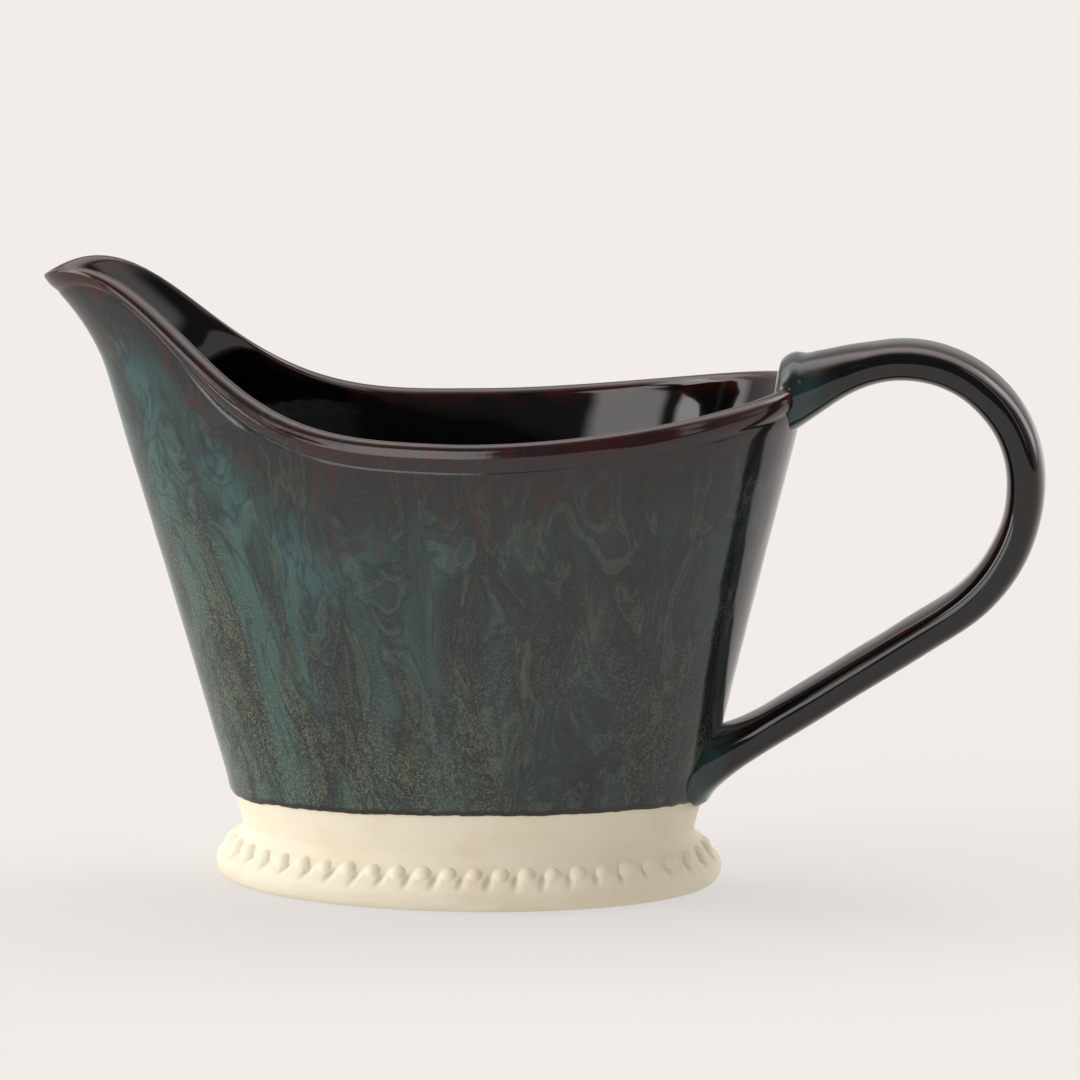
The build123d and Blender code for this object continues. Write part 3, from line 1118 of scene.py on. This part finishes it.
    hem = node(tree, "ShaderNodeMapRange", {
        "Value": node(tree, "ShaderNodeMath", {
            0: bands["Y"],
            1: node(tree, "ShaderNodeMath", {0: wisps, 1: 0.0012}, out=0, operation="MULTIPLY"),
        }, out=0, operation="SUBTRACT"),
        "From Min": 0.0011,
        "From Max": 0.0001,
    }, out=0, interpolation_type="SMOOTHSTEP")
    tone = node(tree, "ShaderNodeMix", {
        0: node(tree, "ShaderNodeMath", {0: hem, 1: 0.85}, out=0, operation="MULTIPLY"),
        6: tone,
        7: linear("#1a0f0b"),
    }, out=2, data_type="RGBA")
    tree.links.new(tone, shader.inputs["Base Color"])
    shader.inputs["Roughness"].default_value = 0.12
    shader.inputs["IOR"].default_value = 1.52
    soft = node(tree, "ShaderNodeTexNoise", {
        "Vector": node(tree, "ShaderNodeVectorMath", {
            0: flow,
            1: per_unit(9, 9, 16),
        }, out=0, operation="MULTIPLY"),
        "Scale": 1.0,
        "Detail": 1.0,
    }, out="Fac")
    fine = node(tree, "ShaderNodeTexNoise", {
        "Vector": node(tree, "ShaderNodeVectorMath", {
            0: spot,
            1: per_unit(1.4, 1.4, 1.4),
        }, out=0, operation="MULTIPLY"),
        "Scale": 1.0,
        "Detail": 1.0,
    }, out="Fac")
    height = node(tree, "ShaderNodeMath", {
        0: soft,
        1: node(tree, "ShaderNodeMath", {0: fine, 1: 0.06}, out=0, operation="MULTIPLY"),
    }, out=0, operation="ADD")
    bump = node(tree, "ShaderNodeBump", {"Height": height, "Distance": 0.00035, "Strength": 0.5})
    tree.links.new(bump.outputs[0], shader.inputs["Normal"])
    return made


def liner_glaze():
    """Tenmoku, an iron-black pouring glaze: a deep mirror that breaks to rust on the edge."""
    paint = bpy.context.scene.gravy_colours
    made, tree, shader = material("Tenmoku liner glaze")
    band = node(tree, "ShaderNodeAttribute", attribute_name="band").outputs["Vector"]
    flow = node(tree, "ShaderNodeAttribute", attribute_name="flow").outputs["Vector"]
    down = node(tree, "ShaderNodeSeparateXYZ", {"Vector": band}).outputs["X"]
    broken = node(tree, "ShaderNodeTexNoise", {
        "Vector": node(tree, "ShaderNodeVectorMath", {
            0: flow,
            1: per_unit(6, 6, 5),
        }, out=0, operation="MULTIPLY"),
        "Scale": 1.0,
        "Detail": 2.0,
    }, out="Fac")
    edge = node(tree, "ShaderNodeMath", {
        0: node(tree, "ShaderNodeMapRange", {
            "Value": down,
            "From Min": 0.006,
            "From Max": 0.0005,
        }, out=0, interpolation_type="SMOOTHSTEP"),
        1: node(tree, "ShaderNodeMapRange", {
            "Value": broken,
            "From Min": 0.35,
            "From Max": 0.6,
        }, out=0, interpolation_type="SMOOTHSTEP"),
    }, out=0, operation="MULTIPLY")
    tree.links.new(
        node(tree, "ShaderNodeMix", {0: edge, 6: paint.tenmoku, 7: paint.rust}, out=2, data_type="RGBA"),
        shader.inputs["Base Color"],
    )
    shader.inputs["Roughness"].default_value = 0.06
    shader.inputs["IOR"].default_value = 1.52
    soft = node(tree, "ShaderNodeTexNoise", {
        "Vector": node(tree, "ShaderNodeVectorMath", {
            0: flow,
            1: per_unit(12, 12, 30),
        }, out=0, operation="MULTIPLY"),
        "Scale": 1.0,
        "Detail": 1.0,
    }, out="Fac")
    bump = node(tree, "ShaderNodeBump", {"Height": soft, "Distance": 0.0004, "Strength": 0.45})
    tree.links.new(bump.outputs[0], shader.inputs["Normal"])
    return made


def dark_glaze():
    """Tenmoku on the strap: black glass, rust where it thins on edges, teal where it pools at the joints."""
    paint = bpy.context.scene.gravy_colours
    made, tree, shader = material("Tenmoku strap glaze")
    band = node(tree, "ShaderNodeAttribute", attribute_name="band").outputs["Vector"]
    flow = node(tree, "ShaderNodeAttribute", attribute_name="flow").outputs["Vector"]
    bands = node(tree, "ShaderNodeSeparateXYZ", {"Vector": band}).outputs
    broken = node(tree, "ShaderNodeTexNoise", {
        "Vector": node(tree, "ShaderNodeVectorMath", {
            0: flow,
            1: per_unit(5, 5, 14),
        }, out=0, operation="MULTIPLY"),
        "Scale": 1.0,
        "Detail": 3.0,
    }, out="Fac")
    edge = node(tree, "ShaderNodeMath", {
        0: node(tree, "ShaderNodeMapRange", {
            "Value": bands["Z"],
            "From Min": 0.72,
            "From Max": 1.0,
        }, out=0, interpolation_type="SMOOTHSTEP"),
        1: node(tree, "ShaderNodeMapRange", {
            "Value": broken,
            "From Min": 0.42,
            "From Max": 0.62,
        }, out=0, interpolation_type="SMOOTHSTEP"),
    }, out=0, operation="MULTIPLY")
    tone = node(tree, "ShaderNodeMix", {
        0: node(tree, "ShaderNodeMath", {0: edge, 1: 0.8}, out=0, operation="MULTIPLY"),
        6: paint.tenmoku,
        7: paint.rust,
    }, out=2, data_type="RGBA")
    pooled = node(tree, "ShaderNodeMath", {
        0: node(tree, "ShaderNodeMapRange", {
            "Value": bands["X"],
            "From Min": 0.012,
            "From Max": 0.001,
        }, out=0, interpolation_type="SMOOTHSTEP"),
        1: node(tree, "ShaderNodeMapRange", {
            "Value": broken,
            "From Min": 0.35,
            "From Max": 0.62,
        }, out=0, interpolation_type="SMOOTHSTEP"),
    }, out=0, operation="MULTIPLY")
    tone = node(tree, "ShaderNodeMix", {
        0: node(tree, "ShaderNodeMath", {0: pooled, 1: 0.5}, out=0, operation="MULTIPLY"),
        6: tone,
        7: paint.teal,
    }, out=2, data_type="RGBA")
    tree.links.new(tone, shader.inputs["Base Color"])
    shader.inputs["Roughness"].default_value = 0.07
    shader.inputs["IOR"].default_value = 1.52
    return made


def bare_stoneware():
    """Buff stoneware, thrown, wiped with a sponge and fired bare: matt, warm and faintly gritty."""
    found = bpy.data.materials.get("Bare stoneware")
    if found:
        return found
    paint = bpy.context.scene.gravy_colours
    made, tree, shader = material("Bare stoneware")
    spot = node(tree, "ShaderNodeTexCoord").outputs["Object"]
    clouds = node(tree, "ShaderNodeTexNoise", {
        "Vector": node(tree, "ShaderNodeVectorMath", {
            0: spot,
            1: per_unit(14, 14, 9),
        }, out=0, operation="MULTIPLY"),
        "Scale": 1.0,
        "Detail": 3.0,
    }, out="Fac")
    grit = node(tree, "ShaderNodeTexNoise", {
        "Vector": node(tree, "ShaderNodeVectorMath", {
            0: spot,
            1: per_unit(0.5, 0.5, 0.5),
        }, out=0, operation="MULTIPLY"),
        "Scale": 1.0,
        "Detail": 2.0,
    }, out="Fac")
    tone = node(tree, "ShaderNodeMix", {
        0: node(tree, "ShaderNodeMapRange", {
            "Value": clouds,
            "From Min": 0.45,
            "From Max": 0.75,
            "To Min": 0.0,
            "To Max": 0.3,
        }, out=0, interpolation_type="SMOOTHSTEP"),
        6: paint.clay,
        7: paint.clay_shade,
    }, out=2, data_type="RGBA")
    tone = node(tree, "ShaderNodeMix", {
        0: node(tree, "ShaderNodeMapRange", {
            "Value": grit,
            "From Min": 0.62,
            "From Max": 0.75,
            "To Min": 0.0,
            "To Max": 0.18,
        }, out=0, interpolation_type="SMOOTHSTEP"),
        6: tone,
        7: paint.clay_shade,
    }, out=2, data_type="RGBA")
    tree.links.new(tone, shader.inputs["Base Color"])
    shader.inputs["Roughness"].default_value = 0.72
    shader.inputs["IOR"].default_value = 1.45
    bump = node(tree, "ShaderNodeBump", {"Height": grit, "Distance": 0.00012, "Strength": 0.5})
    tree.links.new(bump.outputs[0], shader.inputs["Normal"])
    return made


# ---------------------------------------------------------------- the stage


def backdrop_paper(paper):
    """Seamless paper: matt, and lit evenly enough to match the background."""
    made = bpy.data.materials.new("Seamless paper")
    made.use_nodes = True
    tree = made.node_tree
    tree.nodes.clear()
    glow = node(tree, "ShaderNodeEmission", {"Color": tuple(paper), "Strength": 0.6})
    matt = node(tree, "ShaderNodeBsdfDiffuse", {"Color": tuple(c * 0.26 for c in paper[:3]) + (1.0,)})
    both = node(tree, "ShaderNodeAddShader")
    tree.links.new(glow.outputs[0], both.inputs[0])
    tree.links.new(matt.outputs[0], both.inputs[1])
    node(tree, "ShaderNodeOutputMaterial", {"Surface": both.outputs[0]})
    return made


# bearing from the handle, elevation, half width, half height, brightness and soft edge; angles in degrees
SOFTBOXES = {
    "overhead": (90, 70, 50, 20, 2.4, 14),
    "left": (183, 26, 12, 28, 2.6, 5),
    "rear right": (38, 24, 14, 20, 2.6, 5),
    "front left, outer": (205, 16, 13, 24, 5.0, 3),
    "front left, inner": (241, 13, 13, 18, 3.4, 3),
    "front right": (322, 30, 5, 22, 1.4, 3),
}


def studio(paper):
    """The studio round the object: dim walls with soft boxes of light at given bearings."""
    sky = bpy.data.worlds.new("Studio")
    sky.use_nodes = True
    tree = sky.node_tree
    tree.nodes.clear()
    way = node(tree, "ShaderNodeTexCoord").outputs["Generated"]
    front = node(tree, "ShaderNodeSeparateXYZ", {"Vector": way}).outputs["Y"]
    total = node(tree, "ShaderNodeMapRange", {
        "Value": front,
        "From Min": -0.6,
        "From Max": 0.3,
        "To Min": 0.13,
        "To Max": 0.62,
    }, out=0, interpolation_type="SMOOTHSTEP")
    for bearing, height, wide, high, bright, edge in SOFTBOXES.values():
        turned = node(tree, "ShaderNodeVectorRotate", {
            "Vector": way,
            "Rotation": (0.0, 0.0, -radians(bearing)),
        }, rotation_type="EULER_XYZ")
        level = node(tree, "ShaderNodeVectorRotate", {
            "Vector": turned.outputs[0],
            "Rotation": (0.0, radians(height), 0.0),
        }, rotation_type="EULER_XYZ")
        parts = node(tree, "ShaderNodeSeparateXYZ", {"Vector": level.outputs[0]}).outputs
        aside = node(tree, "ShaderNodeMath", {
            0: node(tree, "ShaderNodeMath", {0: parts["Y"], 1: parts["X"]}, out=0, operation="ARCTAN2"),
        }, out=0, operation="ABSOLUTE")
        along = node(tree, "ShaderNodeMath", {
            0: node(tree, "ShaderNodeMath", {0: parts["Z"]}, out=0, operation="ARCSINE"),
        }, out=0, operation="ABSOLUTE")
        inside = node(tree, "ShaderNodeMapRange", {
            "Value": aside,
            "From Min": radians(wide + edge),
            "From Max": radians(wide - edge),
        }, out=0, interpolation_type="SMOOTHSTEP")
        inside = node(tree, "ShaderNodeMath", {
            0: inside,
            1: node(tree, "ShaderNodeMapRange", {
                "Value": along,
                "From Min": radians(high + edge),
                "From Max": radians(high - edge),
            }, out=0, interpolation_type="SMOOTHSTEP"),
        }, out=0, operation="MULTIPLY")
        total = node(tree, "ShaderNodeMath", {
            0: node(tree, "ShaderNodeMath", {0: inside, 1: bright}, out=0, operation="MULTIPLY"),
            1: total,
        }, out=0, operation="ADD")
    seen = node(tree, "ShaderNodeLightPath").outputs["Is Camera Ray"]
    lit = node(tree, "ShaderNodeBackground", {"Color": tuple(paper), "Strength": total})
    plain = node(tree, "ShaderNodeBackground", {"Color": tuple(paper), "Strength": 1.0})
    chosen = node(tree, "ShaderNodeMixShader")
    tree.links.new(seen, chosen.inputs[0])
    tree.links.new(lit.outputs[0], chosen.inputs[1])
    tree.links.new(plain.outputs[0], chosen.inputs[2])
    node(tree, "ShaderNodeOutputWorld", {"Surface": chosen.outputs[0]})
    return sky


class GRAVY_OT_stage(bpy.types.Operator):
    """Set the stage: pale paper, soft lights and the camera"""

    bl_idname = "gravy.stage"
    bl_label = "Stage"

    def execute(self, context):
        scene = context.scene
        stage = scene.gravy_stage
        bm = bmesh.new()
        bmesh.ops.create_circle(bm, cap_ends=True, radius=6.0, segments=96)
        floor = finished("paper_floor", bm)
        floor.data.materials.append(backdrop_paper(stage.paper))
        scene.world = studio(stage.paper)

        lens = bpy.data.cameras.new("Camera")
        lens.lens, lens.sensor_width = stage.lens, 36.0
        camera = bpy.data.objects.new("Camera", lens)
        flat = cos(stage.elevation)
        aim = Vector((sin(stage.azimuth) * flat, -cos(stage.azimuth) * flat, sin(stage.elevation)))
        offset = aim * stage.distance
        camera.location = Vector(stage.target) + offset
        camera.rotation_euler = (-offset).to_track_quat("-Z", "Y").to_euler()
        scene.collection.objects.link(camera)
        scene.camera = camera
        scene.view_settings.view_transform = "Standard"
        return {"FINISHED"}


# ---------------------------------------------------------------- the add-on


class GRAVY_PT_sidebar(bpy.types.Panel):
    """Lists the pieces in the order they are made"""

    bl_label = "Gravy Boat"
    bl_idname = "GRAVY_PT_sidebar"
    bl_space_type = "VIEW_3D"
    bl_region_type = "UI"
    bl_category = "Gravy Boat"

    def draw(self, context):
        for step in STEPS:
            self.layout.operator(step.bl_idname)
        for group in GROUPS:
            box = self.layout.box()
            for key in GROUPS[group].__annotations__:
                box.prop(getattr(context.scene, group), key)


GROUPS = {
    "gravy_bowl": BowlSizes,
    "gravy_glaze": GlazeSizes,
    "gravy_foot": FootSizes,
    "gravy_handle": HandleSizes,
    "gravy_colours": GlazeColours,
    "gravy_stage": StageSettings,
}
STEPS = (
    GRAVY_OT_foot,
    GRAVY_OT_pearls,
    GRAVY_OT_bowl_clay,
    GRAVY_OT_outer_glaze,
    GRAVY_OT_liner_glaze,
    GRAVY_OT_handle,
    GRAVY_OT_stage,
)


def register():
    for name, group in GROUPS.items():
        bpy.utils.register_class(group)
        setattr(bpy.types.Scene, name, bpy.props.PointerProperty(type=group))
    for step in STEPS:
        bpy.utils.register_class(step)
    bpy.utils.register_class(GRAVY_PT_sidebar)


def unregister():
    bpy.utils.unregister_class(GRAVY_PT_sidebar)
    for step in reversed(STEPS):
        bpy.utils.unregister_class(step)
    for name, group in reversed(GROUPS.items()):
        delattr(bpy.types.Scene, name)
        bpy.utils.unregister_class(group)


def main():
    register()
    bpy.ops.gravy.foot()
    bpy.ops.gravy.pearls()
    bpy.ops.gravy.bowl_clay()
    bpy.ops.gravy.outer_glaze()
    bpy.ops.gravy.liner_glaze()
    bpy.ops.gravy.handle()
    bpy.ops.gravy.stage()


if __name__ == "__main__":
    main()
